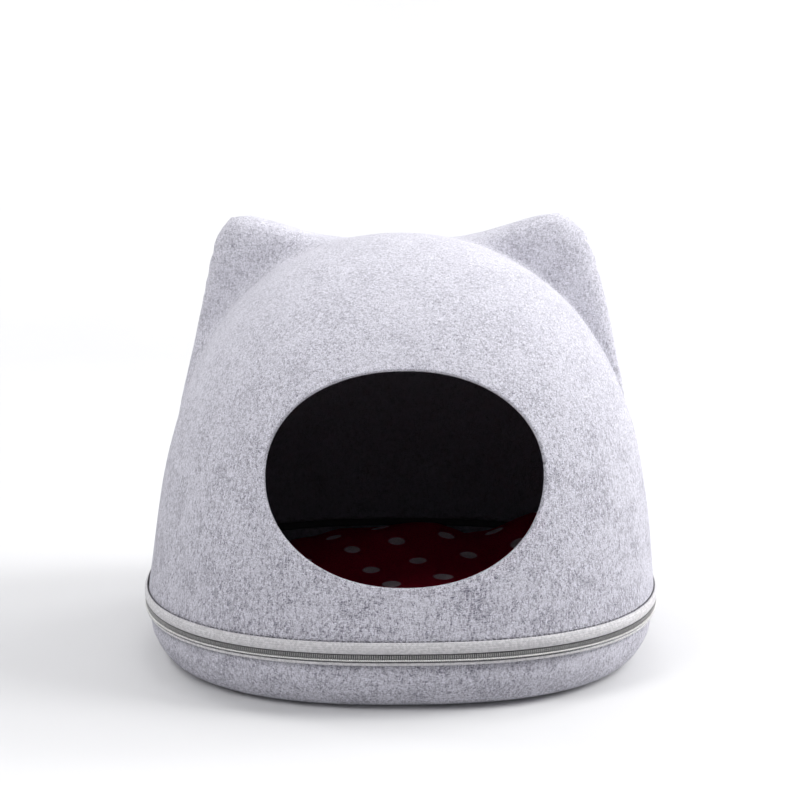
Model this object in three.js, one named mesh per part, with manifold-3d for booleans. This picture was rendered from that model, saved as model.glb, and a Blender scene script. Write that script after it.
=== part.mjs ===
// A moulded felt cat cave: a one-piece hood with two ears and an oval entrance, joined to
// a shallow felt tray by a coil zip, with a padded fleece mat lying in the tray.
// Millimetres, +Z up. The floor is z = 0, the entrance faces -Y, and the origin is under the middle.

import * as THREE from "three";
import { mergeVertices } from "three/addons/utils/BufferGeometryUtils.js";
import Module from "manifold-3d";

const wasm = await Module();
wasm.setup();

// Plan: a rounded square, the same for hood, zip, tray and mat
const HALF_WIDTH = 200;
const DEPTH_TO_WIDTH = 0.95;
const PLAN_SQUARENESS = 2.45;
const COLUMNS = 96;
const CROWDING = 0.45;

// Felt and the gap between neighbours
const FELT = 4;
const GAP = 0.35;

// Heights
const ZIP_HEIGHT = 43.5;
const HOOD_HEIGHT = 278.5;

// Hood wall: it leans in by HOOD_TAPER of its width up to the top, and rounds over by two exponents.
// At half height it stands HOOD_SWAY to the right.
const HOOD_TAPER = 0.155;
const HOOD_SHOULDER = 3.5;
const HOOD_ROUNDING = 2.1;
const HOOD_SWAY = 2.6;
const HOOD_ROWS = 28;
const HOOD_FOCUS = new THREE.Vector3(0, 60, 96);
const EVENING_ROUNDS = 70;
const EAR_PULL = 4;
const EAR_PULL_REACH = 12;

// Faces of the right ear above zip level: a point on each and the way it faces. The left ear is its mirror.
const EAR_FACES = [
  { face: "front", x: 123, y: 26, z: 244, faces: new THREE.Vector3(0.06, -1, 0.02) },
  { face: "outer", x: 154.7, y: 34, z: 264, faces: new THREE.Vector3(1, 0.42, 0.22) },
  { face: "tip", x: 142.8, y: 40, z: 300.5, faces: new THREE.Vector3(0.75, 0, 1) },
  { face: "top", x: 102, y: 40, z: 288.7, faces: new THREE.Vector3(-0.36, 0, 1) },
  { face: "back", x: 122, y: 64, z: 286, faces: new THREE.Vector3(0.2, 1, 0.5) },
  { face: "heel", x: 122, y: 124, z: 166, faces: new THREE.Vector3(0, 0.75, -0.66) },
  { face: "below", x: 183, y: 40, z: 116, faces: new THREE.Vector3(0.93, 0, -0.37) },
  { face: "inner", x: 20, y: 40, z: 215, faces: new THREE.Vector3(-1, 0, 0) },
];

// The two ears came out of the mould a little unlike: how far the front face stands forward, how far
// the ear reaches outward, how far the top is raised, and how wide the hollow is between ear and dome
const EARS = [
  { side: 1, forward: 0, outward: 6, raised: 0, crease: 5 },
  { side: -1, forward: 10, outward: 0, raised: -1.5, crease: 12 },
];

// The right ear's two edges, above zip level, as lines that aim at a row of points to be kept on each edge
const EAR_EDGES = [
  { edge: "ridge", points: 4, from: new THREE.Vector3(112, 46, 291), to: new THREE.Vector3(143, 42, 300) },
  { edge: "outer", points: 12, from: new THREE.Vector3(148, 37, 292), to: new THREE.Vector3(183, 38, 132) },
];
const EAR_ROUNDING = 8;
const EAR_BACK_BLEND = 24;
const BLEND_START = 28;
const BLEND_DEPTH = 45;

// Entrance: an oval, as seen from the front
const ENTRANCE_HALF_WIDTH = 97.4;
const ENTRANCE_HALF_HEIGHT = 73.2;
const ENTRANCE_MIDDLE = 121;
const ENTRANCE_SQUARENESS = 2.15;
const ENTRANCE_STEPS = 64;
const CUT_OUTSIDE = 15;
const CUT_INSIDE = 25;

// Sections of the rings and the tray: half width and height, going round once.
// Heights of the zip's rings are from the middle of the teeth.
const UPPER_TAPE = [
  { half: 200.1, height: 2.7 },
  { half: 201.3, height: 2.7 },
  { half: 202.3, height: 5.8 },
  { half: 201.6, height: 9.8 },
  { half: 199.6, height: 11.4 },
];
const ZIP_TEETH = [
  { half: 197.8, height: -3.5 },
  { half: 201.3, height: -3.5 },
  { half: 202, height: -0.8 },
  { half: 201.3, height: 2.1 },
  { half: 199.4, height: 2.1 },
  { half: 199.4, height: 3.5 },
  { half: 197.8, height: 3.5 },
];
const LOWER_TAPE = [
  { half: 200, height: -6.4 },
  { half: 201.1, height: -5.9 },
  { half: 201.5, height: -4 },
  { half: 200, height: -4 },
];
const RIM_ABOVE_TEETH = 3.9;
const TRAY_OUTSIDE = [
  { half: 0, height: 0 },
  { half: 90, height: 0 },
  { half: 175, height: 0 },
  { half: 185, height: 3.6 },
  { half: 192, height: 11.5 },
  { half: 196.6, height: 22 },
  { half: 199.5, height: ZIP_HEIGHT - RIM_ABOVE_TEETH },
];

// Mat: a padded cushion, drawn in at its edge
const MAT_HALF_WIDTH = 174;
const MAT_THICKNESS = 36;
const MAT_EDGE = 20;
const MAT_FLAT = 95;
const MAT_ROWS = 7;
const MAT_COLUMNS = 56;

// Its back is rucked up against the wall: the rise of the back edge at places from left to right,
// the distance behind the middle over which the rise grows, and how far it spreads for each millimetre
const MAT_BACK_EDGE = [
  { across: -200, rise: 0 },
  { across: -150, rise: 0 },
  { across: -80, rise: 13 },
  { across: -45, rise: 20 },
  { across: 30, rise: 20 },
  { across: 58, rise: 16 },
  { across: 72, rise: 17 },
  { across: 130, rise: 43 },
  { across: 200, rise: 43 },
];
const MAT_RISE_START = 20;
const MAT_RISE_END = 150;
const MAT_SPREAD = 0.0015;

const feltMaterial = new THREE.MeshStandardMaterial({ color: "#cfcdd8", roughness: 0.95, metalness: 0 });
const tapeMaterial = new THREE.MeshStandardMaterial({ color: "#c3c1be", roughness: 0.8, metalness: 0 });
const teethMaterial = new THREE.MeshStandardMaterial({ color: "#8f8e8d", roughness: 0.5, metalness: 0 });
const matMaterial = new THREE.MeshStandardMaterial({ color: "#7d1422", roughness: 1, metalness: 0 });

// How far the rounded square's edge is from its middle, for a circle of radius 1
function planReach(cosine, sine, squareness) {
  return (Math.abs(cosine) ** squareness + Math.abs(sine) ** squareness) ** (-1 / squareness);
}

// Columns stand closer together at the two sides, under the ears, than at the front and back
function columnAngle(column, columns) {
  const even = (column / columns) * 2 * Math.PI;
  return even - (CROWDING / 2) * Math.sin(2 * even);
}

function planPoint(half, height, angle) {
  const cosine = Math.cos(angle);
  const sine = Math.sin(angle);
  const reach = half * planReach(cosine, sine, PLAN_SQUARENESS);
  return new THREE.Vector3(reach * cosine, DEPTH_TO_WIDTH * reach * sine, height);
}

// Half width of the hood's wall at a height above the zip
function hoodHalf(height) {
  const up = height / HOOD_HEIGHT;
  const round = Math.max(0, 1 - up ** HOOD_SHOULDER) ** (1 / HOOD_ROUNDING);
  return HALF_WIDTH * (1 - HOOD_TAPER * up) * round;
}

// Below zero inside the dome, zero on it, about the distance in millimetres near it
function domeDistance(point) {
  const up = Math.max(0, point.z / HOOD_HEIGHT);
  const half = HALF_WIDTH * (1 - HOOD_TAPER * up);
  const across = Math.abs(point.x / half) ** PLAN_SQUARENESS;
  const along = Math.abs(point.y / (half * DEPTH_TO_WIDTH)) ** PLAN_SQUARENESS;
  const level = (across + along) ** (HOOD_ROUNDING / PLAN_SQUARENESS);
  return 0.8 * HALF_WIDTH * ((level + up ** HOOD_SHOULDER) ** (1 / HOOD_ROUNDING) - 1);
}

// The same for an ear: flat faces that meet in rounded edges
function earDistance(point, ear) {
  let sum = 0;
  for (const plane of EAR_FACES) {
    const x = plane.x + (plane.face === "outer" || plane.face === "below" ? ear.outward : 0);
    const y = plane.y - (plane.face === "outer" || plane.face === "front" ? ear.forward : 0);
    const z = plane.z + (plane.face === "top" ? ear.raised : 0);
    const offset = new THREE.Vector3(point.x * ear.side - x, point.y - y, point.z - z);
    sum += Math.exp(Math.min(50, offset.dot(plane.faces) / plane.faces.length() / EAR_ROUNDING));
  }
  return EAR_ROUNDING * Math.log(sum);
}

function blended(first, second, width) {
  const near = Math.max(0, 1 - Math.abs(first - second) / width);
  return Math.min(first, second) - (near * near * width) / 4;
}

// Below zero inside the hood's outer surface: the dome with both ears grown out of it
function hoodDistance(point) {
  const up = THREE.MathUtils.clamp(point.z / HOOD_HEIGHT, 0, 1);
  const upright = new THREE.Vector3(point.x - 4 * HOOD_SWAY * up * (1 - up), point.y, point.z);
  const back = THREE.MathUtils.smoothstep(point.y, BLEND_START, BLEND_START + BLEND_DEPTH);
  let distance = domeDistance(upright);
  for (const ear of EARS) {
    const width = THREE.MathUtils.lerp(ear.crease, EAR_BACK_BLEND, back);
    distance = blended(distance, earDistance(upright, ear), width);
  }
  return distance;
}

function hoodSlope(point) {
  const step = 0.05;
  const slope = new THREE.Vector3();
  for (const axis of ["x", "y", "z"]) {
    const ahead = point.clone();
    const behind = point.clone();
    ahead[axis] += step;
    behind[axis] -= step;
    slope[axis] = (hoodDistance(ahead) - hoodDistance(behind)) / (2 * step);
  }
  return slope;
}

// The point moved straight onto the hood's outer surface, nearer with each round
function ontoHood(point, rounds) {
  const moved = point.clone();
  for (let round = 0; round < rounds; round += 1) {
    const slope = hoodSlope(moved);
    moved.addScaledVector(slope, -hoodDistance(moved) / Math.max(slope.lengthSq(), 1e-6));
  }
  return moved;
}

// The point moved away from the hood's focus, or towards it, until it lies on the outer surface
function alongRay(point) {
  const ray = point.clone().sub(HOOD_FOCUS);
  let inside = 0.5;
  let outside = 2;
  for (let halving = 0; halving < 40; halving += 1) {
    const middle = (inside + outside) / 2;
    if (hoodDistance(HOOD_FOCUS.clone().addScaledVector(ray, middle)) < 0) {
      inside = middle;
    } else {
      outside = middle;
    }
  }
  return HOOD_FOCUS.clone().addScaledVector(ray, inside);
}

// Points crowd towards the ears, where the surface bends most
function earPull(point) {
  const nearest = Math.min(...EARS.map((ear) => earDistance(point, ear)));
  return 1 + EAR_PULL * Math.exp(-Math.max(0, nearest) / EAR_PULL_REACH);
}

// The nearest points of the rows are moved to the ears' edges, and their places are listed
function pinnedPlaces(rows) {
  const pinned = new Set();
  for (const ear of EARS) {
    for (const edge of EAR_EDGES) {
      for (let step = 0; step < edge.points; step += 1) {
        const aim = edge.from.clone().lerp(edge.to, step / (edge.points - 1));
        const across = (aim.x + ear.outward) * ear.side;
        const kept = alongRay(new THREE.Vector3(across, aim.y - ear.forward, aim.z));
        let nearest = { distance: Infinity };
        for (let place = COLUMNS; place < HOOD_ROWS * COLUMNS; place += 1) {
          const distance = rows[Math.floor(place / COLUMNS)][place % COLUMNS].distanceTo(kept);
          if (distance < nearest.distance && !pinned.has(place)) {
            nearest = { distance, place };
          }
        }
        rows[Math.floor(nearest.place / COLUMNS)][nearest.place % COLUMNS] = kept;
        pinned.add(nearest.place);
      }
    }
  }
  return pinned;
}

// Rows of points from the rim up to the top, spread over dome and ears
function hoodRows() {
  const rows = [];
  for (let row = 0; row <= HOOD_ROWS; row += 1) {
    const rise = Math.sin((row / HOOD_ROWS) * (Math.PI / 2));
    const height = RIM_ABOVE_TEETH + (HOOD_HEIGHT - RIM_ABOVE_TEETH) * rise;
    const ring = [];
    for (let column = 0; column < COLUMNS; column += 1) {
      const point = planPoint(hoodHalf(height), height, columnAngle(column, COLUMNS));
      ring.push(row === 0 || row === HOOD_ROWS ? point : alongRay(point));
    }
    rows.push(ring);
  }
  const top = new THREE.Vector3(0, 0, HOOD_HEIGHT);
  rows[HOOD_ROWS] = rows[HOOD_ROWS].map(() => top.clone());
  const pinned = pinnedPlaces(rows);
  for (let round = 0; round < EVENING_ROUNDS; round += 1) {
    const before = rows.map((ring) => ring.map((point) => ({ point: point.clone(), pull: earPull(point) })));
    for (let row = 1; row < HOOD_ROWS; row += 1) {
      for (let column = 0; column < COLUMNS; column += 1) {
        if (pinned.has(row * COLUMNS + column)) {
          continue;
        }
        const middle = new THREE.Vector3();
        let pulls = 0;
        for (const neighbour of [
          before[row - 1][column],
          before[row + 1][column],
          before[row][(column + 1) % COLUMNS],
          before[row][(column + COLUMNS - 1) % COLUMNS],
        ]) {
          middle.addScaledVector(neighbour.point, neighbour.pull);
          pulls += neighbour.pull;
        }
        middle.divideScalar(pulls);
        rows[row][column] = ontoHood(before[row][column].point.lerp(middle, 0.6), 1);
      }
    }
  }
  return rows.map((ring, row) => (row === 0 ? ring : ring.map((point) => ontoHood(point, 3))));
}

// A closed lathe body whose section is a list of half widths and heights, then bent to the plan's shape
function turned(section, columns, closed) {
  const points = section.map((corner) => new THREE.Vector2(corner.half, corner.height));
  if (closed) {
    points.push(points[0].clone());
  }
  const geometry = new THREE.LatheGeometry(points, columns);
  geometry.rotateX(Math.PI / 2);
  return { geometry, rows: points.length };
}

function setPoints(lathe, columns, pointAt) {
  const position = lathe.geometry.attributes.position;
  for (let column = 0; column <= columns; column += 1) {
    for (let row = 0; row < lathe.rows; row += 1) {
      const point = pointAt(row, column % columns);
      position.setXYZ(column * lathe.rows + row, point.x, point.y, point.z);
    }
  }
}

// Only positions are kept, shared points are merged, and the faces are turned to point out
function cleaned(geometry) {
  const bare = geometry.clone();
  bare.deleteAttribute("normal");
  bare.deleteAttribute("uv");
  const merged = mergeVertices(bare, 1e-3);
  const position = merged.attributes.position;
  const kept = [];
  let volume = 0;
  for (let corner = 0; corner < merged.index.count; corner += 3) {
    const triangle = [0, 1, 2].map((step) => merged.index.getX(corner + step));
    if (new Set(triangle).size === 3) {
      kept.push(triangle);
      const [a, b, c] = triangle.map((at) => new THREE.Vector3().fromBufferAttribute(position, at));
      volume += a.dot(b.cross(c));
    }
  }
  const outward = volume > 0 ? kept : kept.map(([a, b, c]) => [a, c, b]);
  merged.setIndex(outward.flat());
  return merged;
}

function toSolid(geometry) {
  return new wasm.Manifold(
    new wasm.Mesh({
      numProp: 3,
      vertProperties: new Float32Array(geometry.attributes.position.array),
      triVerts: new Uint32Array(geometry.index.array),
    }),
  );
}

function fromSolid(solid) {
  const mesh = solid.getMesh();
  const geometry = new THREE.BufferGeometry();
  geometry.setAttribute("position", new THREE.BufferAttribute(new Float32Array(mesh.vertProperties), 3));
  geometry.setIndex(Array.from(mesh.triVerts));
  return geometry;
}

// A ring or bowl whose section keeps its shape all round
function planBody(section, closed) {
  const lathe = turned(section, COLUMNS, closed);
  const corners = closed ? [...section, section[0]] : section;
  setPoints(lathe, COLUMNS, (row, column) =>
    planPoint(corners[row].half, corners[row].height, columnAngle(column, COLUMNS)),
  );
  return cleaned(lathe.geometry);
}

// The felt shell before the entrance is cut: outer rows from the top down, then inner rows back up
function hoodShell() {
  const outer = hoodRows();
  const inner = outer.map((ring) =>
    ring.map((point) => point.clone().addScaledVector(hoodSlope(point).normalize(), -FELT)),
  );
  for (const [column, point] of inner[0].entries()) {
    point.z = outer[0][column].z;
  }
  const innerTop = new THREE.Vector3(0, 0, HOOD_HEIGHT - FELT);
  inner[HOOD_ROWS] = inner[HOOD_ROWS].map(() => innerTop.clone());
  const rings = [...outer.toReversed(), ...inner];
  const section = rings.map((ring) => ({ half: ring[0].x, height: ring[0].z }));
  const lathe = turned(section, COLUMNS, false);
  setPoints(lathe, COLUMNS, (row, column) => rings[row][column]);
  return cleaned(lathe.geometry);
}

// A plug through the front wall, its sides square to the felt all round the oval
function entrancePlug() {
  const plug = new THREE.CylinderGeometry(1, 1, 1, ENTRANCE_STEPS);
  const position = plug.attributes.position;
  for (let index = 0; index < position.count; index += 1) {
    const across = position.getX(index);
    const up = position.getZ(index);
    const isRim = Math.hypot(across, up) > 0.5;
    const reach = isRim ? planReach(across, up, ENTRANCE_SQUARENESS) : 0;
    const onWall = new THREE.Vector3(
      ENTRANCE_HALF_WIDTH * reach * across,
      -HALF_WIDTH * DEPTH_TO_WIDTH,
      ENTRANCE_MIDDLE + ENTRANCE_HALF_HEIGHT * reach * up,
    );
    for (let round = 0; round < 12; round += 1) {
      onWall.y -= hoodDistance(onWall) / hoodSlope(onWall).y;
    }
    const outward = hoodSlope(onWall).normalize();
    onWall.addScaledVector(outward, position.getY(index) > 0 ? CUT_OUTSIDE : -CUT_INSIDE);
    position.setXYZ(index, onWall.x, onWall.y, onWall.z);
  }
  return cleaned(plug);
}

function feltHood() {
  return fromSolid(toSolid(hoodShell()).subtract(toSolid(entrancePlug())));
}

// The tray: its outside, then the same line one felt further in, back to the middle
function feltTray() {
  const inside = TRAY_OUTSIDE.map((corner, index) => {
    const before = TRAY_OUTSIDE[Math.max(0, index - 1)];
    const after = TRAY_OUTSIDE[Math.min(TRAY_OUTSIDE.length - 1, index + 1)];
    const along = new THREE.Vector2(after.half - before.half, after.height - before.height).normalize();
    return { half: corner.half - FELT * along.y, height: corner.height + FELT * along.x };
  });
  inside[0].half = 0;
  inside.at(-1).height = TRAY_OUTSIDE.at(-1).height;
  return planBody([...TRAY_OUTSIDE, ...inside.toReversed()], false);
}

// How far the mat is lifted here
function matRise(point) {
  const next = MAT_BACK_EDGE.findIndex((place) => place.across > point.x);
  const left = MAT_BACK_EDGE[next - 1];
  const right = MAT_BACK_EDGE[next];
  const share = THREE.MathUtils.smoothstep(point.x, left.across, right.across);
  const edge = THREE.MathUtils.lerp(left.rise, right.rise, share);
  return edge * THREE.MathUtils.smoothstep(point.y, MAT_RISE_START, MAT_RISE_END);
}

function mat() {
  const section = [];
  for (let row = 0; row <= MAT_ROWS; row += 1) {
    const out = Math.sin((row / MAT_ROWS) * (Math.PI / 2));
    section.push({ half: MAT_HALF_WIDTH * out, height: MAT_EDGE + (MAT_THICKNESS - MAT_EDGE) * (1 - out ** 4) });
  }
  section.push({ half: MAT_HALF_WIDTH + 2, height: MAT_EDGE / 2 });
  section.push({ half: MAT_HALF_WIDTH - 3, height: 0 });
  section.push({ half: MAT_FLAT, height: 0 });
  section.push({ half: 0, height: 0 });
  const lathe = turned(section, MAT_COLUMNS, false);
  setPoints(lathe, MAT_COLUMNS, (row, column) => {
    const point = planPoint(section[row].half, section[row].height, columnAngle(column, MAT_COLUMNS));
    const rise = matRise(point);
    const spread = 1 + MAT_SPREAD * rise;
    return new THREE.Vector3(point.x * spread, point.y * spread, point.z + rise);
  });
  return cleaned(lathe.geometry);
}

function named(name, geometry, material) {
  const mesh = new THREE.Mesh(geometry, material);
  mesh.name = name;
  return mesh;
}

const cave = new THREE.Group();
const atZip = new THREE.Group();
atZip.position.z = ZIP_HEIGHT;
atZip.add(named("felt_hood", feltHood(), feltMaterial));
atZip.add(named("zip_tape_upper", planBody(UPPER_TAPE, true), tapeMaterial.clone()));
atZip.add(named("zip_teeth", planBody(ZIP_TEETH, true), teethMaterial));
atZip.add(named("zip_tape_lower", planBody(LOWER_TAPE, true), tapeMaterial.clone()));
cave.add(atZip);
cave.add(named("felt_tray", feltTray(), feltMaterial.clone()));
const fleeceMat = named("fleece_mat", mat(), matMaterial);
fleeceMat.position.z = FELT + GAP;
cave.add(fleeceMat);

export default cave;
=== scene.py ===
"""Looks of a moulded felt cat cave: hood with two ears, oval entrance, coil zip, tray and fleece mat.

Shapes are worked out in millimetres above the floor, from the same functions as the solids, and
become metres when a mesh is made.
"""

import math

import bmesh
import bpy
import numpy as np
from mathutils import Matrix, Vector


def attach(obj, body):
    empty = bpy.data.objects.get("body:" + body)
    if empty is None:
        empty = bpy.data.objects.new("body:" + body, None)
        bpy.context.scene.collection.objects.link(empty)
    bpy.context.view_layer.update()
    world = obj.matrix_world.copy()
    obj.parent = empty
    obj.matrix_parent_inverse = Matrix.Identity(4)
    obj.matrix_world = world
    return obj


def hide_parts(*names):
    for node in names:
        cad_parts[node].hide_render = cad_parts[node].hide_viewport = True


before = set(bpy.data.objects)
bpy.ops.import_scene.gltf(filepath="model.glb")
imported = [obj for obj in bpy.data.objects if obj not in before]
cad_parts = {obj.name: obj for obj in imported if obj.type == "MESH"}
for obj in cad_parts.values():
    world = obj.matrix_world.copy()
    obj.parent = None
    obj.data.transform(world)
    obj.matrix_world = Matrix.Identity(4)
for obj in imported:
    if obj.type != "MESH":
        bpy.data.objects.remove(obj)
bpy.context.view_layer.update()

MM = 0.001
MERGE_DISTANCE = 0.01 * MM

# Plan: a rounded square
HALF_WIDTH = 200.0
DEPTH_TO_WIDTH = 0.95
PLAN_SQUARENESS = 2.45

FELT = 4.0
ZIP_HEIGHT = 43.5
RIM_ABOVE_TEETH = 3.9

# Hood, in heights above the zip
HOOD_HEIGHT = 278.5
HOOD_TAPER = 0.155
HOOD_SHOULDER = 3.5
HOOD_ROUNDING = 2.1
HOOD_SWAY = 2.6
HOOD_FOCUS = np.array([0.0, 60.0, 96.0])

# Right ear: face, a point on it, the way it faces
EAR_FACES = [
    ("front", (123, 26, 244), (0.06, -1, 0.02)),
    ("outer", (154.7, 34, 264), (1, 0.42, 0.22)),
    ("tip", (142.8, 40, 300.5), (0.75, 0, 1)),
    ("top", (102, 40, 288.7), (-0.36, 0, 1)),
    ("back", (122, 64, 286), (0.2, 1, 0.5)),
    ("heel", (122, 124, 166), (0, 0.75, -0.66)),
    ("below", (183, 40, 116), (0.93, 0, -0.37)),
    ("inner", (20, 40, 215), (-1, 0, 0)),
]
# side, how far the front stands forward, the outside outward, the top up, width of the front hollow
EARS = [(1, 0.0, 6.0, 0.0, 5.0), (-1, 10.0, 0.0, -1.5, 12.0)]
EAR_ROUNDING = 8.0
EAR_BACK_BLEND = 24.0
BLEND_START = 28.0
BLEND_DEPTH = 45.0

# Grids of the hood's surface: columns, rows, rounds of evening
HOOD_GRIDS = [(80, 34, 70), (160, 68, 24), (320, 136, 14)]
CREASE_PULL = 4.0
CREASE_REACH = 6.0

# Entrance, as seen from the front
ENTRANCE_HALF_WIDTH = 99.8
ENTRANCE_HALF_HEIGHT = 74.2
ENTRANCE_MIDDLE = 120.7
ENTRANCE_SQUARENESS = 2.1
# Its cut edge, rounded: how far into the opening, how deep below the outer face
ENTRANCE_LIP = [(0.45, 0.15), (0.8, 0.7), (0.85, 2.0), (0.8, 3.3), (0.45, 3.85)]

# Camera, fitted to the zip's curve in the photograph
IMAGE_SIZE = 800
CAMERA_DISTANCE = 1300.0
CAMERA_ELEVATION = math.radians(16.38)
CAMERA_YAW = math.radians(-1.1)
PIXELS_PER_MM = 1.2375
ZIP_CENTRE_PIXEL = (400.47, 580.35)
SENSOR = 36.0


# Meshes


def mesh_object(name, points, faces, material, slot, replaces=(), uv=None):
    """A piece of the object from points in millimetres above the floor."""
    mesh = bpy.data.meshes.new(name)
    mesh.from_pydata((np.asarray(points) * MM).tolist(), [], [list(map(int, f)) for f in faces])
    if uv is not None:
        layer = mesh.uv_layers.new(name="UVMap")
        corner = np.zeros(len(mesh.loops), np.int32)
        mesh.loops.foreach_get("vertex_index", corner)
        layer.data.foreach_set("uv", np.asarray(uv, np.float32)[corner].ravel())
    mesh.polygons.foreach_set("use_smooth", [True] * len(mesh.polygons))
    mesh.materials.append(material)
    mesh.update()
    piece = bpy.data.objects.new(name, mesh)
    bpy.context.scene.collection.objects.link(piece)
    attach(piece, "root")
    if replaces:
        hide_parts(*replaces)
    return piece


def grid_faces(rows, columns):
    """Quads between rows of points, each row a ring."""
    across = np.arange(columns)
    row = np.arange(rows - 1)[:, None]
    a = row * columns + across
    b = row * columns + (across + 1) % columns
    return np.stack([a, b, b + columns, a + columns], -1).reshape(-1, 4)


def plan_reach(cosine, sine):
    level = np.abs(cosine) ** PLAN_SQUARENESS + np.abs(sine) ** PLAN_SQUARENESS
    return level ** (-1 / PLAN_SQUARENESS)


def plan_ring(half, height, angles):
    cosine, sine = np.cos(angles), np.sin(angles)
    reach = half * plan_reach(cosine, sine)
    return np.stack([reach * cosine, DEPTH_TO_WIDTH * reach * sine, np.full_like(reach, height)], -1)


def even_angles(half, count):
    """Angles at which points on the plan's curve are the same distance apart, and that distance."""
    fine = np.linspace(0, 2 * np.pi, 7201)
    ring = plan_ring(half, 0.0, fine)
    along = np.concatenate([[0], np.cumsum(np.linalg.norm(np.diff(ring, axis=0), axis=1))])
    return np.interp(np.arange(count) / count * along[-1], along, fine), along[-1] / count


def ring_frames(half, height, count):
    """Places along the plan's curve, with the way along it, the way out of it, and up."""
    angles, _ = even_angles(half, count)
    places = plan_ring(half, height, angles)
    along = np.roll(places, -1, 0) - np.roll(places, 1, 0)
    along /= np.linalg.norm(along, axis=1)[:, None]
    up = np.tile([0.0, 0.0, 1.0], (count, 1))
    return places, along, np.cross(along, up), up


def repeated(template, frames):
    """A small shape given as (along, out, up), set at each frame, as one list of points and faces.

    These three directions are left-handed, so each face is turned over to look outward.
    """
    points, faces = template
    places, along, out, up = frames
    spread = (
        places[:, None]
        + points[None, :, 0:1] * along[:, None]
        + points[None, :, 1:2] * out[:, None]
        + points[None, :, 2:3] * up[:, None]
    )
    steps = np.arange(len(places)) * len(points)
    return spread.reshape(-1, 3), [[i + s for i in face[::-1]] for s in steps for face in faces]


def tube(path, radius, sides):
    """A round bar along a path of points, with closed ends."""
    path = np.asarray(path, float)
    ahead = np.gradient(path, axis=0)
    ahead /= np.linalg.norm(ahead, axis=1)[:, None]
    aside = np.cross(ahead, [1.0, 0.0, 0.0])
    weak = np.linalg.norm(aside, axis=1) < 0.2
    aside[weak] = np.cross(ahead[weak], [0.0, 0.0, 1.0])
    aside /= np.linalg.norm(aside, axis=1)[:, None]
    other = np.cross(ahead, aside)
    turn = np.arange(sides) / sides * 2 * np.pi
    radii = np.broadcast_to(radius, len(path))[:, None, None]
    rings = path[:, None] + radii * (
        np.cos(turn)[None, :, None] * aside[:, None] + np.sin(turn)[None, :, None] * other[:, None]
    )
    faces = grid_faces(len(path), sides).tolist()
    last = (len(path) - 1) * sides
    faces.append(list(range(sides))[::-1])
    faces.append([last + i for i in range(sides)])
    return rings.reshape(-1, 3), faces


def joined(parts):
    points, faces, first = [], [], 0
    for part_points, part_faces in parts:
        points.append(part_points)
        faces += [[i + first for i in face] for face in part_faces]
        first += len(part_points)
    return np.concatenate(points), faces


# The hood's surface


def smoothstep(value, low, high):
    t = np.clip((value - low) / (high - low), 0, 1)
    return t * t * (3 - 2 * t)


def dome_distance(points):
    up = np.maximum(0, points[..., 2] / HOOD_HEIGHT)
    half = HALF_WIDTH * (1 - HOOD_TAPER * up)
    across = np.abs(points[..., 0] / half) ** PLAN_SQUARENESS
    along = np.abs(points[..., 1] / (half * DEPTH_TO_WIDTH)) ** PLAN_SQUARENESS
    level = (across + along) ** (HOOD_ROUNDING / PLAN_SQUARENESS)
    return 0.8 * HALF_WIDTH * ((level + up**HOOD_SHOULDER) ** (1 / HOOD_ROUNDING) - 1)


def ear_distance(points, side, forward, outward, raised):
    total = 0
    for face, (x, y, z), faces in EAR_FACES:
        x += outward * (face in ("outer", "below"))
        y -= forward * (face in ("outer", "front"))
        place = np.array([x, y, z + raised * (face == "top")])
        out = np.array(faces) / np.linalg.norm(faces)
        offset = (points * [side, 1, 1] - place) @ out
        total = total + np.exp(np.minimum(50, offset / EAR_ROUNDING))
    return EAR_ROUNDING * np.log(total)


def hood_distance(points):
    """Below zero inside the hood's outer surface; points are heights above the zip."""
    up = np.clip(points[..., 2] / HOOD_HEIGHT, 0, 1)
    upright = points.copy()
    upright[..., 0] -= 4 * HOOD_SWAY * up * (1 - up)
    back = smoothstep(points[..., 1], BLEND_START, BLEND_START + BLEND_DEPTH)
    distance = dome_distance(upright)
    for side, forward, outward, raised, crease in EARS:
        width = crease + (EAR_BACK_BLEND - crease) * back
        ear = ear_distance(upright, side, forward, outward, raised)
        near = np.maximum(0, 1 - np.abs(distance - ear) / width)
        distance = np.minimum(distance, ear) - near * near * width / 4
    return distance


def hood_slope(points):
    step = 0.05
    slopes = []
    for axis in range(3):
        move = np.zeros(3)
        move[axis] = step
        slopes.append((hood_distance(points + move) - hood_distance(points - move)) / (2 * step))
    return np.stack(slopes, -1)


def onto_hood(points, rounds=1):
    for _ in range(rounds):
        slope = hood_slope(points)
        size = np.maximum((slope**2).sum(-1), 1e-6)
        points = points - (hood_distance(points) / size)[..., None] * slope
    return points


def hood_out(points):
    slope = hood_slope(points)
    return slope / np.linalg.norm(slope, axis=-1, keepdims=True)


def first_grid(columns, rows):
    rise = np.sin(np.arange(rows + 1) / rows * np.pi / 2)
    heights = RIM_ABOVE_TEETH + (HOOD_HEIGHT - RIM_ABOVE_TEETH) * rise
    angles = np.arange(columns) / columns * 2 * np.pi
    up = heights / HOOD_HEIGHT
    round_over = np.maximum(0, 1 - up**HOOD_SHOULDER) ** (1 / HOOD_ROUNDING)
    halves = HALF_WIDTH * (1 - HOOD_TAPER * up) * round_over
    grid = np.stack([plan_ring(half, height, angles) for half, height in zip(halves, heights)])
    rays = grid - HOOD_FOCUS
    inside, outside = np.full(grid.shape[:2], 0.5), np.full(grid.shape[:2], 2.0)
    for _ in range(40):
        middle = (inside + outside) / 2
        within = hood_distance(HOOD_FOCUS + rays * middle[..., None]) < 0
        inside, outside = np.where(within, middle, inside), np.where(within, outside, middle)
    found = HOOD_FOCUS + rays * inside[..., None]
    found[0] = grid[0]
    found[-1] = [0, 0, HOOD_HEIGHT]
    return found


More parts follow.
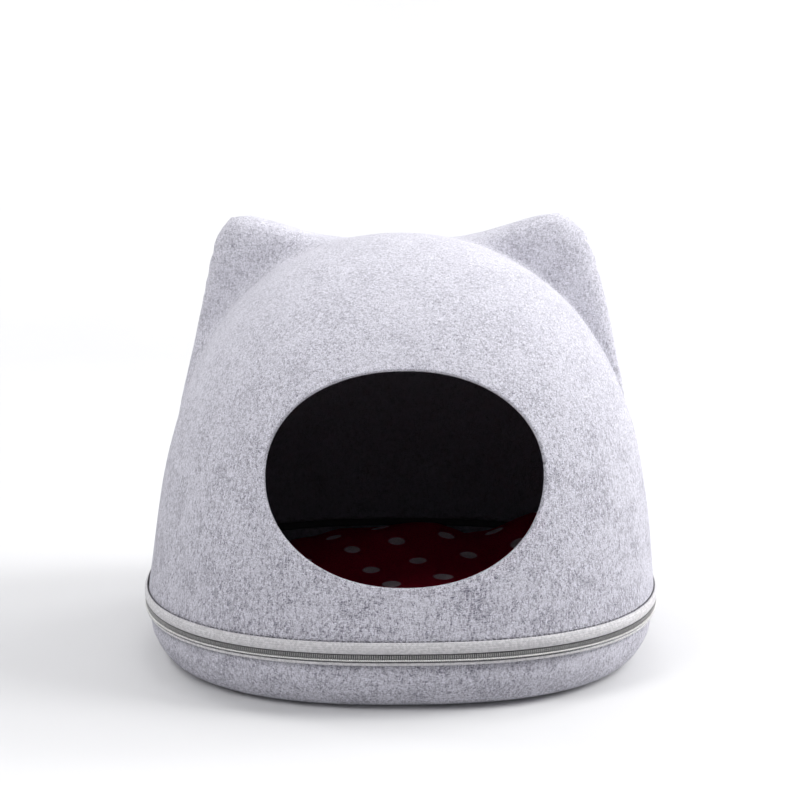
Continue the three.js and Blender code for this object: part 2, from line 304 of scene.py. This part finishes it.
def refined(grid, columns, rows):
    """The grid with a point added between each two, along and across."""
    tall = np.empty((2 * len(grid) - 1, *grid.shape[1:]))
    tall[::2], tall[1::2] = grid, (grid[1:] + grid[:-1]) / 2
    wide = np.empty((tall.shape[0], 2 * tall.shape[1], 3))
    wide[:, ::2], wide[:, 1::2] = tall, (tall + np.roll(tall, -1, 1)) / 2
    assert wide.shape[:2] == (rows + 1, columns)
    wide[1:-1] = onto_hood(wide[1:-1], 3)
    wide[0] = plan_ring(
        HALF_WIDTH * (1 - HOOD_TAPER * RIM_ABOVE_TEETH / HOOD_HEIGHT),
        RIM_ABOVE_TEETH,
        np.arange(columns) / columns * 2 * np.pi,
    )
    return wide


def crease_pull(points):
    """Points crowd towards the sharp hollow between an ear's front and the dome."""
    dome = dome_distance(points)
    apart = [np.abs(dome - ear_distance(points, *ear[:4])) for ear in EARS]
    front = 1 - smoothstep(points[..., 1], BLEND_START, BLEND_START + BLEND_DEPTH)
    return (1 + CREASE_PULL * front * np.exp(-np.minimum(*apart) / CREASE_REACH))[..., None]


def evened(grid, rounds, fixed=None):
    """Each point moved towards the middle of its four neighbours, and back onto the surface."""
    for _ in range(rounds):
        inner = grid[1:-1]
        pull = crease_pull(grid)
        pulled = np.concatenate([grid * pull, pull], -1)
        total = np.roll(pulled, 1, 1)[1:-1] + np.roll(pulled, -1, 1)[1:-1] + pulled[2:] + pulled[:-2]
        middle = total[..., :3] / total[..., 3:]
        moved = onto_hood(inner * 0.4 + middle * 0.6)
        if fixed is not None:
            moved = np.where(fixed[1:-1, :, None], inner, moved)
        grid = np.concatenate([grid[:1], moved, grid[-1:]])
    return grid


def entrance_level(points):
    """Below zero where a point of the front wall is inside the oval."""
    across = np.abs(points[..., 0]) / ENTRANCE_HALF_WIDTH
    up = np.abs(points[..., 2] - ENTRANCE_MIDDLE) / ENTRANCE_HALF_HEIGHT
    level = (across**ENTRANCE_SQUARENESS + up**ENTRANCE_SQUARENESS) ** (1 / ENTRANCE_SQUARENESS)
    return np.where(points[..., 1] < 0, level - 1, 1.0)


def onto_entrance(points):
    """Points near the oval moved onto it, on the hood's surface."""
    for _ in range(8):
        middle = np.array([0.0, 0.0, ENTRANCE_MIDDLE])
        level = entrance_level(points)[..., None]
        flat = (points - middle) / (1 + level) + middle
        points = np.stack([flat[..., 0], points[..., 1], flat[..., 2]], -1)
        slope = hood_slope(points)[..., 1]
        points[..., 1] -= hood_distance(points) / slope
    return points


def felt_waves(points):
    """Slow dents and swells in millimetres, as pressed felt keeps them; none at the rim."""
    x, y, z = points[..., 0], points[..., 1], points[..., 2]
    waves = np.sin(x / 23 + 0.9 * np.sin(z / 31)) * np.sin(z / 19 + y / 41 + 0.7)
    waves += 0.7 * np.sin(x / 11 - y / 17 + 2.1) * np.sin(z / 13 + x / 37)
    waves += 0.8 * np.sin(y / 29 + 1.3) * np.sin(x / 47 - z / 26 + 0.4)
    return 0.32 * waves


def neighbours(mask):
    """Where a point or one of the eight around it is set."""
    wide = mask | np.roll(mask, 1, 1) | np.roll(mask, -1, 1)
    tall = wide.copy()
    tall[1:] |= wide[:-1]
    tall[:-1] |= wide[1:]
    return tall


def felt_hood(material, dark):
    """The shell: outer rows, inner rows 4 mm in, the rim below, and the rounded cut of the entrance."""
    columns, rows, rounds = HOOD_GRIDS[0]
    grid = evened(first_grid(columns, rows), rounds)
    for columns, rows, rounds in HOOD_GRIDS[1:]:
        grid = evened(refined(grid, columns, rows), rounds)
    within = entrance_level(grid) < 0
    edge = within & neighbours(~within)
    grid[edge] = onto_entrance(grid[edge])
    grid = evened(grid, 6, fixed=neighbours(within))
    grid[1:-1] = np.where(edge[1:-1, :, None], grid[1:-1], onto_hood(grid[1:-1], 2))

    out = hood_out(grid)
    out[-1] = [0, 0, 1]
    grid = grid + out * (felt_waves(grid) * smoothstep(grid[..., 2], 14, 45))[..., None]
    rim = out[0] * [1, 1, 0]
    out[0] = rim / np.linalg.norm(rim, axis=-1, keepdims=True)
    count = (rows + 1) * columns
    outer, inner = grid.reshape(-1, 3), (grid - FELT * out).reshape(-1, 3)

    faces = grid_faces(rows + 1, columns)
    cut = within.reshape(-1)
    kept = faces[~cut[faces].all(axis=1)]
    inside = kept[:, ::-1] + count
    rim_columns = np.arange(columns)
    after = (rim_columns + 1) % columns
    below = np.stack([rim_columns + count, after + count, after, rim_columns], -1)

    # The loop of cut edges, each used by one face only
    edges = np.concatenate([kept[:, [i, (i + 1) % 4]] for i in range(4)])
    key = np.sort(edges, 1)
    _, first, uses = np.unique(key, axis=0, return_index=True, return_counts=True)
    single = edges[first[uses == 1]]
    single = single[(single >= columns).all(axis=1) & (single < rows * columns).all(axis=1)]
    loop = np.unique(single)
    place = {int(p): i for i, p in enumerate(loop)}
    flat_out = out.reshape(-1, 3)[loop]
    centre = np.array([0.0, 0.0, ENTRANCE_MIDDLE])
    inward = (centre - outer[loop]) * [1, 0, 1]
    inward /= np.array([ENTRANCE_HALF_WIDTH, 1, ENTRANCE_HALF_HEIGHT]) ** 2
    inward -= (inward * flat_out).sum(-1, keepdims=True) * flat_out
    inward /= np.linalg.norm(inward, axis=-1, keepdims=True)
    strips = [outer[loop] + into * inward - depth * flat_out for into, depth in ENTRANCE_LIP]
    chain = [loop] + [2 * count + i * len(loop) + np.arange(len(loop)) for i in range(len(ENTRANCE_LIP))]
    chain.append(loop + count)
    cuts = []
    for a, b in single:
        i, j = place[int(a)], place[int(b)]
        for near, far in zip(chain[:-1], chain[1:]):
            cuts.append([near[j], near[i], far[i], far[j]])

    points = np.concatenate([outer, inner, *strips]) + [0, 0, ZIP_HEIGHT]
    every = [*kept.tolist(), *below.tolist(), *cuts, *inside.tolist()]
    used, index = np.unique(np.concatenate([np.ravel(f) for f in every]), return_inverse=True)
    renumbered, at = [], 0
    for face in every:
        renumbered.append(index[at : at + len(face)].tolist())
        at += len(face)
    piece = mesh_object("hood", points[used], renumbered, material, "felt", ["felt_hood"])
    mesh = piece.data
    # The inner faces take the darker copy of the felt: painted shade of the cave's inside
    mesh.materials.append(dark)
    flags = np.zeros(len(mesh.polygons), np.int32)
    flags[-len(inside) :] = 1
    mesh.polygons.foreach_set("material_index", flags)
    merge_by_distance(piece)
    return piece


def merge_by_distance(piece):
    """Points that fell together become one, and the faces all look outward."""
    work = bmesh.new()
    work.from_mesh(piece.data)
    bmesh.ops.remove_doubles(work, verts=work.verts, dist=MERGE_DISTANCE)
    bmesh.ops.recalc_face_normals(work, faces=work.faces)
    work.to_mesh(piece.data)
    work.free()
    piece.data.update()


# Tray, zip and mat

TRAY_OUTSIDE = [(0, 0), (90, 0), (175, 0), (185, 3.6), (192, 11.5), (196.6, 22), (199.5, 39.6)]
UPPER_TAPE = [(200.1, 2.1), (201.1, 2.1), (202.3, 5.4), (201.6, 9.4), (199.6, 11.0)]
LOWER_TAPE = [(200, -6.4), (201.1, -5.9), (201.5, -4), (200, -4)]
RING_COLUMNS = 384

# Coil: the section of its core, and one loop's path as (along, out, up) with its bar's radius
ZIP_PITCH = 1.55
COIL_HALF = 200.2
COIL_CORE = [
    (197.9, -4.1),
    (199.7, -4.1),
    (200.3, -2.5),
    (200.4, 0),
    (200.2, 1.9),
    (199.4, 2.2),
    (199.2, 4.2),
    (197.9, 4.2),
]
LOOP_PATH = [(0, -0.3, 1.3), (0, 0.6, 1.0), (0, 1.0, 0.2), (0, 0.9, -1.0), (0, 0.0, -1.6)]
LOOP_RADIUS = 0.46

# Chain stitch below the loops, and the seam at the upper tape's edge
CHAIN_HALF = 200.9
CHAIN_HEIGHT = -2.3
CHAIN_PATH = [(-0.8, 0.1, 0.5), (-0.3, 0.5, 0.25), (0.3, 0.5, -0.25), (0.8, 0.1, -0.5)]
CHAIN_RADII = [0.25, 0.62, 0.62, 0.25]
SEAM_HALF = 199.7
SEAM_HEIGHT = 10.9
SEAM_PATH = [(-1.1, -0.35, 0), (-0.7, 0.1, 0), (0.7, 0.1, 0), (1.1, -0.35, 0)]
SEAM_RADIUS = 0.3
SEAM_PITCH = 4.2
THREAD_SIDES = 6

MAT_HALF_WIDTH = 174.0
MAT_THICKNESS = 36.0
MAT_EDGE = 20.0
MAT_FLAT = 95.0
MAT_SIDE = [(176.2, 15.5), (175.5, 7.0), (171, 0.6), (164, 0)]
MAT_COLUMNS = 256
MAT_ROWS = 56
# The rise of its back edge, from left to right
MAT_BACK_EDGE = [
    (-200, 0),
    (-150, 0),
    (-80, 13),
    (-45, 20),
    (30, 20),
    (58, 16),
    (72, 17),
    (130, 43),
    (200, 43),
]
MAT_RISE_START = 20.0
MAT_RISE_END = 150.0
MAT_SPREAD = 0.0015
MAT_BASE = FELT + 0.35


def rounded(corners, steps, closed):
    """A smooth line through a few corners, by cutting them again and again."""
    line = np.asarray(corners, float)
    for _ in range(steps):
        ahead = np.roll(line, -1, 0) if closed else line[1:]
        here = line if closed else line[:-1]
        cut = np.stack([here * 0.75 + ahead * 0.25, here * 0.25 + ahead * 0.75], 1).reshape(-1, 2)
        line = cut if closed else np.concatenate([line[:1], cut, line[-1:]])
    return line


def ring_body(section, columns, base):
    """A closed section carried round the plan, its UV in metres: along the ring and round the section."""
    angles, step = even_angles(HALF_WIDTH, columns)
    rows = [plan_ring(half, height, angles) for half, height in section]
    points = np.concatenate(rows) + [0, 0, base]
    around = np.concatenate([[0], np.cumsum(np.linalg.norm(np.diff(section, axis=0), axis=1))])
    turns = np.minimum(np.arange(columns), columns - np.arange(columns)) * step
    uv = np.stack([np.tile(turns, len(section)), np.repeat(around, columns)], -1) * MM
    faces = grid_faces(len(section), columns).tolist()
    last = (len(section) - 1) * columns
    for column in range(columns):
        after = (column + 1) % columns
        faces.append([last + column, last + after, after, column])
    return points, faces, uv


def felt_tray(material, dark):
    """The bowl: outside from the middle out, over the rim, and back along the inside."""
    corners = np.array(TRAY_OUTSIDE, float)
    middle = rounded(corners[2:-1], 3, False)
    outside = np.concatenate([[[30, 0], [90, 0], [140, 0]], middle, corners[-1:]])
    along = np.gradient(outside, axis=0)
    along /= np.linalg.norm(along, axis=1)[:, None]
    along[:3], along[-1] = [1, 0], [along[-1][0], along[-1][1]]
    inside = outside + FELT * np.stack([-along[:, 1], along[:, 0]], -1)
    top = outside[-1][1]
    inside[-1][1] = top
    lip = [[outside[-1][0] - 0.6, top + 0.2], [inside[-1][0] + 0.6, top + 0.2]]
    section = np.concatenate([outside, lip, inside[::-1]])
    angles, _ = even_angles(HALF_WIDTH, RING_COLUMNS)
    points = np.concatenate([plan_ring(half, height, angles) for half, height in section])
    faces = grid_faces(len(section), RING_COLUMNS).tolist()
    faces.append(list(range(RING_COLUMNS))[::-1])
    last = (len(section) - 1) * RING_COLUMNS
    faces.append([last + i for i in range(RING_COLUMNS)])
    piece = mesh_object("tray", points, faces, material, "felt", ["felt_tray"])
    # The rim's top and the whole inside take the darker copy of the felt: painted shade
    piece.data.materials.append(dark)
    flags = np.zeros(len(piece.data.polygons), np.int32)
    flags[len(outside) * RING_COLUMNS : (len(section) - 1) * RING_COLUMNS] = 1
    flags[-1] = 1
    piece.data.polygons.foreach_set("material_index", flags)
    merge_by_distance(piece)
    return piece


def zip_tape(name, section, material, node):
    points, faces, uv = ring_body(rounded(section, 2, True), RING_COLUMNS, ZIP_HEIGHT)
    return mesh_object(name, points, faces, material, "zip_tape", [node], uv=uv)


def zip_coil(coil, shade, loops):
    """The coil's loops on a near-black core, which is painted shade of the recess between the loops."""
    core_points, core_faces, _ = ring_body(rounded(COIL_CORE, 1, True), RING_COLUMNS, ZIP_HEIGHT)
    loop = tube(LOOP_PATH, LOOP_RADIUS, THREAD_SIDES)
    rows = repeated(loop, ring_frames(COIL_HALF, ZIP_HEIGHT, loops))
    points, faces = joined([(core_points, core_faces), rows])
    teeth = mesh_object("zip_coil", points, faces, coil, "zip_teeth", ["zip_teeth"])
    teeth.data.materials.append(shade)
    flags = np.zeros(len(teeth.data.polygons), np.int32)
    # The core's faces take the near-black painted shade
    flags[: len(core_faces)] = 1
    teeth.data.polygons.foreach_set("material_index", flags)


def zip_parts(tape, coil, shade, thread, seam_painted_shade_thread):
    """Two tapes, the coil with the chain stitch below it, and the seam that holds the upper tape."""
    upper = zip_tape("zip_tape_upper_woven", UPPER_TAPE, tape, "zip_tape_upper")
    zip_tape("zip_tape_lower_woven", LOWER_TAPE, tape, "zip_tape_lower")

    length = even_angles(HALF_WIDTH, 1)[1]
    loops = round(length / ZIP_PITCH)
    zip_coil(coil, shade, loops)

    knot = tube(CHAIN_PATH, CHAIN_RADII, THREAD_SIDES)
    knots = repeated(knot, ring_frames(CHAIN_HALF, ZIP_HEIGHT + CHAIN_HEIGHT, loops))
    mesh_object("zip_chain_stitch", *knots, thread, "zip_tape")

    stitch = tube(SEAM_PATH, SEAM_RADIUS, THREAD_SIDES)
    frames = ring_frames(SEAM_HALF, ZIP_HEIGHT + SEAM_HEIGHT, round(length / SEAM_PITCH))
    seam = mesh_object("tape_seam", *repeated(stitch, frames), seam_painted_shade_thread, "zip_tape")
    return upper, seam


def mat_rise(points):
    across, rises = np.array(MAT_BACK_EDGE, float).T
    right = np.searchsorted(across, points[..., 0])
    left = right - 1
    share = smoothstep(points[..., 0], across[left], across[right])
    edge = rises[left] + (rises[right] - rises[left]) * share
    return edge * smoothstep(points[..., 1], MAT_RISE_START, MAT_RISE_END)


def fleece_mat(material):
    """A crowned cushion with a soft seam round its edge and slow waves in its top."""
    columns, rows = MAT_COLUMNS, MAT_ROWS
    angles, _ = even_angles(MAT_HALF_WIDTH, columns)
    out = np.sin(np.arange(1, rows + 1) / rows * np.pi / 2)
    section = [(MAT_HALF_WIDTH * o, MAT_EDGE + (MAT_THICKNESS - MAT_EDGE) * (1 - o**4)) for o in out]
    side = rounded([section[-1], *MAT_SIDE], 3, False)
    section += [tuple(p) for p in side[1:]]
    section += [(MAT_FLAT, 0), (40, 0)]
    points = np.stack([plan_ring(half, height, angles) for half, height in section])
    x, y = points[..., 0], points[..., 1]
    wave = 1.6 * np.sin(x / 31 + 0.8 * np.sin(y / 47)) + 1.2 * np.sin(y / 26 + x / 70 + 1.1)
    wave += 0.9 * np.sin((x - y) / 19 + 2.0)
    back = smoothstep(y, 60, 165)
    fold = 4.5 * np.exp(-(((x - 60 + 0.2 * (y - 165)) / 8) ** 2))
    wave += back * (1.2 * np.sin(x / 15 + 0.6) - fold)
    top = smoothstep(points[..., 2], 12, 30)
    rise = mat_rise(points)
    points[..., 2] += (wave - 1.5) * top + rise + MAT_BASE
    points[..., :2] *= 1 + MAT_SPREAD * rise[..., None]
    faces = grid_faces(len(section), columns).tolist()
    faces.append(list(range(columns))[::-1])
    last = (len(section) - 1) * columns
    faces.append([last + i for i in range(columns)])
    piece = mesh_object("mat", points.reshape(-1, 3), faces, material, "fleece", ["fleece_mat"])
    merge_by_distance(piece)
    return piece


# Materials


class Nodes:
    """A material's node tree, with short calls for the nodes used here."""

    def __init__(self, name, roughness, sheen=0.0, specular=0.3):
        self.material = bpy.data.materials.new(name)
        self.material.use_nodes = True
        self.tree = self.material.node_tree
        self.shader = self.tree.nodes["Principled BSDF"]
        self.shader.inputs["Roughness"].default_value = roughness
        self.shader.inputs["Specular IOR Level"].default_value = specular
        self.shader.inputs["Sheen Weight"].default_value = sheen
        self.shader.inputs["Sheen Roughness"].default_value = 0.6
        self.place = self.tree.nodes.new("ShaderNodeTexCoord").outputs["Object"]

    def link(self, source, socket):
        if isinstance(source, (int, float)):
            socket.default_value = source
        elif isinstance(source, tuple):
            socket.default_value = (*source, 1.0)
        else:
            self.tree.links.new(source, socket)

    def scaled(self, scale, turned=(0, 0, 0)):
        node = self.tree.nodes.new("ShaderNodeMapping")
        self.link(self.place, node.inputs["Vector"])
        node.inputs["Scale"].default_value = scale
        node.inputs["Rotation"].default_value = turned
        return node.outputs["Vector"]

    def noise(self, scale, detail=2.0, roughness=0.5, distortion=0.0, at=None):
        node = self.tree.nodes.new("ShaderNodeTexNoise")
        self.link(at or self.place, node.inputs["Vector"])
        node.inputs["Scale"].default_value = scale
        node.inputs["Detail"].default_value = detail
        node.inputs["Roughness"].default_value = roughness
        node.inputs["Distortion"].default_value = distortion
        return node.outputs["Fac"]

    def math(self, operation, a, b=0.0, c=0.0):
        node = self.tree.nodes.new("ShaderNodeMath")
        node.operation = operation
        for value, socket in zip((a, b, c), node.inputs):
            self.link(value, socket)
        return node.outputs[0]

    def ramp(self, value, low, high, to_low=0.0, to_high=1.0, smooth=True):
        node = self.tree.nodes.new("ShaderNodeMapRange")
        node.interpolation_type = "SMOOTHSTEP" if smooth else "LINEAR"
        self.link(value, node.inputs["Value"])
        names = ("From Min", "From Max", "To Min", "To Max")
        for name, number in zip(names, (low, high, to_low, to_high)):
            node.inputs[name].default_value = number
        return node.outputs["Result"]

    def mix(self, share, a, b):
        node = self.tree.nodes.new("ShaderNodeMix")
        node.data_type = "RGBA"
        self.link(share, node.inputs["Factor"])
        self.link(a, node.inputs["A"])
        self.link(b, node.inputs["B"])
        return node.outputs["Result"]

    def axis(self, name, of=None):
        node = self.tree.nodes.new("ShaderNodeSeparateXYZ")
        self.link(of or self.place, node.inputs[0])
        return node.outputs[name]

    def colour(self, source):
        self.link(source, self.shader.inputs["Base Color"])

    def bump(self, height, distance, strength=1.0):
        node = self.tree.nodes.new("ShaderNodeBump")
        node.inputs["Strength"].default_value = strength
        node.inputs["Distance"].default_value = distance
        self.link(height, node.inputs["Height"])
        self.link(node.outputs["Normal"], self.shader.inputs["Normal"])


FELT_LIGHT = (0.84, 0.83, 0.91)
FELT_MIDDLE = (0.47, 0.46, 0.515)
FELT_DARK = (0.12, 0.112, 0.155)
# Darker copies of the felt's colours for the inner faces of hood and tray: painted shade of the cave's
# inside, on the same felt
PAINTED_SHADE_INSIDE_FELT = [(0.24, 0.22, 0.27), (0.19, 0.18, 0.22), (0.10, 0.10, 0.12)]
# Fibres in metres and radians: length, thickness, the turn of their bundle
DARK_FIBRES = [(0.007, 0.0011, (0.2, 0.1, 0.4)), (0.006, 0.0011, (0.1, 1.5, 0.3))]
PALE_FIBRES = [(0.006, 0.0012, (0.4, 0.3, 1.2)), (0.008, 0.0012, (1.2, 0.2, 0.1))]


def fibre_lines(n, long, thin, turned):
    """Thin bent lines, as loose fibres lie on felt: 1 on a line, 0 beside it."""
    field = n.noise(1, detail=1, distortion=0.5, at=n.scaled((1 / long, 1 / thin, 1 / thin), turned))
    return n.ramp(n.math("ABSOLUTE", n.math("SUBTRACT", field, 0.5)), 0.05, 0.0)


def felt_material(name, light=FELT_LIGHT, middle=FELT_MIDDLE, dark=FELT_DARK):
    """Heathered needle felt: pale and grey fibres matted together, darker clumps, slow blotches."""
    n = Nodes(name, roughness=0.95, sheen=0.2, specular=0.12)
    grain = n.noise(900, detail=3, roughness=0.8, distortion=0.5)
    clump = n.noise(1, detail=4, roughness=0.75, distortion=0.8, at=n.scaled((620, 620, 230)))
    blotch = n.noise(40, detail=3, roughness=0.6)
    base = n.mix(n.ramp(grain, 0.41, 0.55, smooth=False), middle, light)
    dark_lines = n.math("MAXIMUM", *[fibre_lines(n, *fibre) for fibre in DARK_FIBRES])
    pale_lines = n.math("MAXIMUM", *[fibre_lines(n, *fibre) for fibre in PALE_FIBRES])
    crowd = n.math("ADD", clump, n.math("MULTIPLY_ADD", blotch, 0.28, -0.14))
    patch = n.ramp(crowd, 0.525, 0.42)
    lines_share = n.math("MULTIPLY", dark_lines, n.math("MULTIPLY_ADD", patch, 0.40, 0.22))
    share = n.math("MULTIPLY_ADD", patch, 0.29, lines_share)
    strength = n.ramp(n.axis("Z"), 0.30, 0.06, 0.85, 1.6)
    base = n.mix(n.math("MULTIPLY", share, strength), base, dark)
    base = n.mix(n.math("MULTIPLY", pale_lines, 0.35), base, light)
    # Painted shade: the felt is mixed up to 9 percent towards its dark colour from 16 cm above the floor
    # downwards
    low = n.ramp(n.axis("Z"), 0.16, 0.02, 0.0, 0.09)
    n.colour(n.mix(n.math("ADD", low, n.ramp(blotch, 0.3, 0.7, 0.0, 0.06)), base, dark))
    lines_height = n.math("MULTIPLY", n.math("ADD", pale_lines, dark_lines), 0.25)
    height = n.math("ADD", n.math("MULTIPLY", grain, 0.8), lines_height)
    n.bump(height, 0.001, 0.7)
    return n.material


RIB_PITCH = 0.0016


def tape_material(name, colour, dark):
    """Woven tape: ribs along the tape crossed by a fine weft."""
    n = Nodes(name, roughness=0.62, sheen=0.15, specular=0.35)
    uv = n.tree.nodes.new("ShaderNodeUVMap").outputs["UV"]
    along, across = n.axis("X", uv), n.axis("Y", uv)
    weft = n.math("SINE", n.math("MULTIPLY", along, 2 * math.pi / (ZIP_PITCH * MM)))
    ribs = n.math("SINE", n.math("MULTIPLY", across, 2 * math.pi / RIB_PITCH))
    crossed = n.math("MULTIPLY_ADD", ribs, 0.5, n.math("MULTIPLY", weft, ribs))
    weave = n.math("MULTIPLY_ADD", crossed, 0.33, 0.5)
    mottled = n.noise(600, detail=2)
    shade = n.math("MULTIPLY_ADD", weave, 0.6, n.math("MULTIPLY", n.ramp(mottled, 0.35, 0.65), 0.4))
    n.colour(n.mix(shade, colour, dark))
    n.bump(weave, 0.0002, 0.6)
    return n.material


def plain_material(name, colour, dark, roughness):
    n = Nodes(name, roughness=roughness, specular=0.4)
    spots = n.noise(900, detail=2)
    n.colour(n.mix(n.ramp(spots, 0.35, 0.7), colour, dark))
    n.bump(spots, 0.0001, 0.5)
    return n.material


DOT_SPACING = 0.045
DOT_RADIUS = 0.0075
DOT_CELL = DOT_SPACING * math.sqrt(2)


def fleece_material(name):
    """Dark red short pile with pale round dots in offset rows."""
    n = Nodes(name, roughness=0.95, sheen=0.0, specular=0.05)
    wander = n.noise(14, detail=1)
    at = n.scaled((1, 1, 1), (0, 0, math.radians(24)))
    x = n.math("MULTIPLY_ADD", wander, 0.012, n.axis("X", at))
    y = n.math("MULTIPLY_ADD", wander, 0.010, n.axis("Y", at))
    far = []
    for shift in (0.0, 0.5):
        parts = []
        for value in (x, y):
            turn = n.math("FRACT", n.math("MULTIPLY_ADD", value, 1 / DOT_CELL, 10 + shift))
            parts.append(n.math("POWER", n.math("SUBTRACT", turn, 0.5), 2.0))
        far.append(n.math("SQRT", n.math("ADD", *parts)))
    radius = DOT_RADIUS / DOT_CELL
    pile = n.noise(900, detail=3, roughness=0.7)
    edge = n.math("MULTIPLY_ADD", pile, 0.03, n.math("MINIMUM", *far))
    dot = n.ramp(edge, radius + 0.03, radius - 0.005)
    red = n.mix(n.ramp(pile, 0.3, 0.7), (0.22, 0.003, 0.018), (0.42, 0.009, 0.038))
    pale = n.mix(n.ramp(pile, 0.3, 0.7), (0.50, 0.40, 0.43), (0.75, 0.64, 0.67))
    n.colour(n.mix(dot, red, pale))
    n.bump(n.math("ADD", pile, n.math("MULTIPLY", n.noise(240, detail=2), 0.7)), 0.0012, 0.7)
    return n.material


# Stage, light and camera

SWEEP_START = 1.6
SWEEP_RADIUS = 1.4
SWEEP_HEIGHT = 4.5
SWEEP_HALF = 9.0


def stage_floor():
    """A pale floor that bends up into a back wall, far behind the object."""
    turn = np.linspace(0, np.pi / 2, 17)
    bend = np.stack([SWEEP_START + SWEEP_RADIUS * np.sin(turn), SWEEP_RADIUS * (1 - np.cos(turn))], -1)
    profile = [(-SWEEP_HALF, 0.0), *bend.tolist(), (SWEEP_START + SWEEP_RADIUS, SWEEP_HEIGHT)]
    points = [(x, y, z) for y, z in profile for x in (-SWEEP_HALF, SWEEP_HALF)]
    faces = [(2 * i, 2 * i + 1, 2 * i + 3, 2 * i + 2) for i in range(len(profile) - 1)]
    mesh = bpy.data.meshes.new("floor")
    mesh.from_pydata(points, [], faces)
    mesh.polygons.foreach_set("use_smooth", [True] * len(faces))
    n = Nodes("floor_paint", roughness=0.9, specular=0.1)
    n.colour(n.mix(n.noise(3, detail=2), (0.63, 0.63, 0.635), (0.66, 0.66, 0.665)))
    mesh.materials.append(n.material)
    floor = bpy.data.objects.new("floor", mesh)
    bpy.context.scene.collection.objects.link(floor)


# Lamps: name, place, size in metres, watts, and the place they face
MIDDLE = (0, 0, 0.16)
LAMPS = [
    ("key", (1.5, -0.3, 1.5), 0.8, 23, MIDDLE),
    ("side", (1.9, 0.25, 0.7), 0.8, 24, MIDDLE),
    ("top", (0.0, 0.3, 2.2), 1.2, 9, MIDDLE),
    ("front_top", (-0.5, -0.65, 0.95), 0.4, 3, MIDDLE),
    ("left_fill", (-1.5, -1.0, 1.3), 0.8, 9, MIDDLE),
    ("backdrop_left", (-2.0, 1.2, 2.6), 1.5, 60, (-1.5, 3.0, 0.9)),
    ("backdrop_right", (2.0, 1.2, 2.6), 1.5, 60, (1.5, 3.0, 0.9)),
]


def area_light(name, place, size, power, aim):
    light = bpy.data.lights.new(name, "AREA")
    light.shape = "DISK"
    light.size = size
    light.energy = power
    lamp = bpy.data.objects.new(name, light)
    lamp.location = place
    lamp.rotation_euler = (Vector(aim) - Vector(place)).to_track_quat("-Z", "Y").to_euler()
    bpy.context.scene.collection.objects.link(lamp)


def lighting():
    world = bpy.data.worlds.new("studio")
    world.use_nodes = True
    background = world.node_tree.nodes["Background"]
    background.inputs["Color"].default_value = (0.95, 0.955, 1.0, 1)
    background.inputs["Strength"].default_value = 0.42
    bpy.context.scene.world = world
    bpy.context.scene.view_settings.view_transform = "Standard"
    for lamp in LAMPS:
        area_light(*lamp)


def camera():
    """At the photograph's angle: the zip ring's centre lands on its pixel, and the view isn't shifted."""
    focal = PIXELS_PER_MM * CAMERA_DISTANCE
    back = Vector(
        (
            math.sin(CAMERA_YAW) * math.cos(CAMERA_ELEVATION),
            -math.cos(CAMERA_YAW) * math.cos(CAMERA_ELEVATION),
            math.sin(CAMERA_ELEVATION),
        )
    )
    place = (back * CAMERA_DISTANCE + Vector((0, 0, ZIP_HEIGHT))) * MM
    right = (-back).cross(Vector((0, 0, 1))).normalized()
    above = right.cross(-back)
    tip = math.atan((ZIP_CENTRE_PIXEL[1] - IMAGE_SIZE / 2) / focal)
    pan = math.atan((ZIP_CENTRE_PIXEL[0] - IMAGE_SIZE / 2) / focal)
    ahead = (-back) * math.cos(tip) + above * math.sin(tip)
    ahead = Matrix.Rotation(pan, 3, "Z") @ ahead
    data = bpy.data.cameras.new("camera")
    data.sensor_width = SENSOR
    data.lens = focal * math.cos(tip) * SENSOR / IMAGE_SIZE
    seen = bpy.data.objects.new("camera", data)
    seen.location = place
    seen.rotation_euler = ahead.to_track_quat("-Z", "Y").to_euler()
    bpy.context.scene.collection.objects.link(seen)
    bpy.context.scene.camera = seen


# The object on its stage

camera()
lighting()
stage_floor()

felt = felt_material("heathered_felt")
# The same felt, darkened as painted shade for the inner faces
felt_painted_inside_shade = felt_material("heathered_felt_painted_inside_shade", *PAINTED_SHADE_INSIDE_FELT)
tape = tape_material("zip_tape_weave", (0.66, 0.645, 0.66), (0.30, 0.295, 0.305))
coil = plain_material("coil_nylon", (0.34, 0.335, 0.33), (0.22, 0.22, 0.22), 0.4)
# Near-black core of the coil: painted shade of the recess between the loops
shade = plain_material("coil_gap_painted_shade", (0.045, 0.045, 0.048), (0.03, 0.03, 0.032), 0.8)
thread = plain_material("chain_thread", (0.80, 0.79, 0.78), (0.58, 0.57, 0.56), 0.7)
# The seam's stitches are real thread; their near-black colour is painted shadow of the stitches and their
# needle holes
seam_painted_shade_thread = plain_material("seam_thread_painted_shade", (0.12, 0.12, 0.125), (0.07, 0.07, 0.075), 0.75)

hood = felt_hood(felt, felt_painted_inside_shade)
tray = felt_tray(felt, felt_painted_inside_shade)
upper_tape, seam = zip_parts(tape, coil, shade, thread, seam_painted_shade_thread)
mat = fleece_mat(fleece_material("dotted_fleece"))
